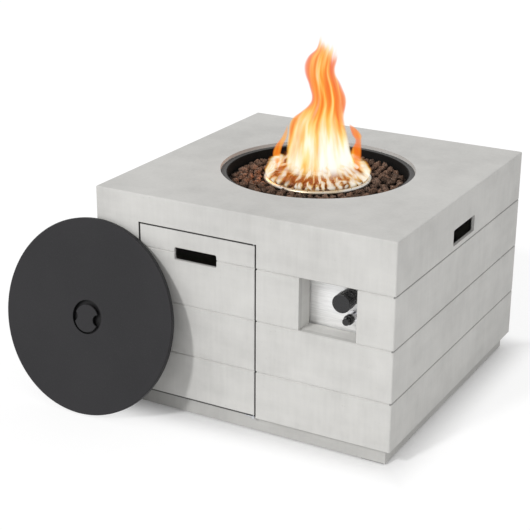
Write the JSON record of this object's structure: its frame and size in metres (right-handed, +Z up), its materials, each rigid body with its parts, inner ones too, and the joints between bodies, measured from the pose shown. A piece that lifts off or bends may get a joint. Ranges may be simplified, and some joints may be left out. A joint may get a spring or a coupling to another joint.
{
  "type": "gas fire pit table",
  "caption": "Square outdoor gas fire table with grooved cement sides, round fire bowl with lava rock, tank door, recessed controls and a round metal lid leaned against it.",
  "frame": {"origin": "centre of the cabinet's square footprint, on the floor", "axes": "+Z up; the front with the tank door and the controls faces -Y; +X is to the right seen from the front"},
  "size_m": [1.0545, 0.9392, 0.57],
  "materials": {
    "concrete": "light grey trowelled cement, matt",
    "base_wood": "plain board",
    "foot_rubber": "matt black",
    "black_coat": "satin black heat-resisting paint",
    "charcoal_coat": "fine satin charcoal powder coat",
    "zinc_steel": "zinc plated",
    "burner_steel": "stainless, slightly heat tinted",
    "lava_stone": "rough porous",
    "plate_steel": "bright brushed stainless",
    "black_plastic": "black, low gloss",
    "cast_alloy": "as cast",
    "brass": "machined",
    "pipe_metal": "drawn",
    "chrome": "polished",
    "ceramic": "plain",
    "sensor_metal": "copper"
  },
  "bodies": {
    "cabinet": {"top_slab": "concrete", "front_panel": "concrete", "back_panel": "concrete", "right_panel": "concrete", "left_panel": "concrete", "corner_posts": "base_wood", "plinth_front": "concrete", "plinth_back": "concrete", "plinth_left": "concrete", "plinth_right": "concrete", "base_board": "base_wood", "feet": "foot_rubber", "tank_ring": "zinc_steel", "pivot_bush": "brass", "pivot_bracket": "zinc_steel", "magnet_catch": "black_plastic", "cabinet_screws": "zinc_steel", "fire_pan": "black_coat", "heat_shield": "zinc_steel", "shield_studs": "zinc_steel", "lava_bed": "lava_stone", "lava_rocks": "lava_stone", "burner_ring": "burner_steel", "burner_spokes": "burner_steel", "burner_hub": "burner_steel", "inlet_nipple": "burner_steel", "nipple_nuts": "zinc_steel", "air_mixer": "cast_alloy", "gas_elbow": "brass", "gas_pipe": "pipe_metal", "pipe_nuts": "brass", "sensor_bracket": "zinc_steel", "electrode": "ceramic", "thermocouple": "sensor_metal", "niche_liner": "concrete", "control_plate": "plate_steel", "knob_bezel": "black_plastic", "valve_body": "cast_alloy", "gas_inlet": "brass", "igniter_body": "chrome", "igniter_ring": "chrome", "igniter_cap": "black_plastic"},
    "door": {"door_panel": "concrete", "pivot_pins": "zinc_steel", "strike_plate": "zinc_steel"},
    "lid": {"lid_plate": "charcoal_coat", "lid_cup": "charcoal_coat", "lid_grip": "charcoal_coat", "lid_screw": "zinc_steel"},
    "collar": {"return_collar": "brass"},
    "knob": {"control_knob": "black_plastic", "valve_stem": "pipe_metal"},
    "button": {"igniter_button": "black_plastic"}
  },
  "joints": [
    {"name": "door_swing", "type": "hinge", "parent": "cabinet", "child": "door", "pos_m": [0.039, -0.4015, 0.0515], "axis": [0, 0, 1], "range_deg": [0, 100]},
    {"name": "lid_lift_off", "type": "slide", "parent": "door", "child": "lid", "axis": [0, -1, 0], "range_m": [0, 0.35]},
    {"name": "knob_push", "type": "slide", "parent": "cabinet", "child": "collar", "axis": [0, 1, 0], "range_m": [0, 0.0035], "stiffness_N_per_m": 900, "springref_m": -0.005},
    {"name": "knob_turn", "type": "hinge", "parent": "collar", "child": "knob", "pos_m": [0.267, -0.398, 0.391], "axis": [0, -1, 0], "range_deg": [0, 200]},
    {"name": "igniter_push", "type": "slide", "parent": "cabinet", "child": "button", "axis": [0, 1, 0], "range_m": [0, 0.005], "stiffness_N_per_m": 800, "springref_m": -0.005}
  ]
}
